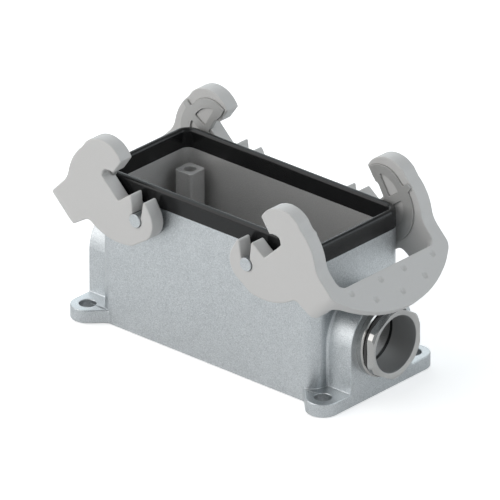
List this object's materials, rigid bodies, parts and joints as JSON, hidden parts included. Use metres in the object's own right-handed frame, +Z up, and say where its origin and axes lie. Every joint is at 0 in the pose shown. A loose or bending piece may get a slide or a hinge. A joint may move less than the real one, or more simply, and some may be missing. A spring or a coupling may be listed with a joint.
{
  "type": "heavy duty rectangular connector housing",
  "caption": "Rectangular die-cast connector housing for surface mounting, open at the top with a rim seal, a locking lever at each end and a side cable entry with a thread adapter.",
  "frame": {"origin": "centre of the four foot holes, on the mounting face", "axes": "+X along the box, pointing the way the cable entry faces; +Y across it; +Z up, away from the mounting face"},
  "size_m": [0.1424, 0.0594, 0.0716],
  "materials": {
    "cast_housing": "die cast, silver grey, lightly mottled",
    "rim_rubber": "matt black",
    "lever_moulding": "satin light grey",
    "lever_steel": "satin",
    "adapter_metal": "nickel plated, polished",
    "ring_rubber": "black"
  },
  "bodies": {
    "housing": {"housing": "cast_housing", "rim_seal": "rim_rubber", "thread_adapter": "adapter_metal", "adapter_seal": "ring_rubber", "bore_seal": "ring_rubber"},
    "left_lever": {"left_lever": "lever_moulding", "left_insert_front": "lever_steel", "left_insert_back": "lever_steel"},
    "right_lever": {"right_lever": "lever_moulding", "right_insert_front": "lever_steel", "right_insert_back": "lever_steel"}
  },
  "joints": [
    {"name": "right_lever_hinge", "type": "hinge", "parent": "housing", "child": "right_lever", "pos_m": [0.0246, 0, 0.0468], "axis": [0, -1, 0], "range_deg": [0, 46]},
    {"name": "left_lever_hinge", "type": "hinge", "parent": "housing", "child": "left_lever", "pos_m": [-0.0246, 0, 0.0468], "axis": [0, 1, 0], "range_deg": [0, 46]}
  ]
}
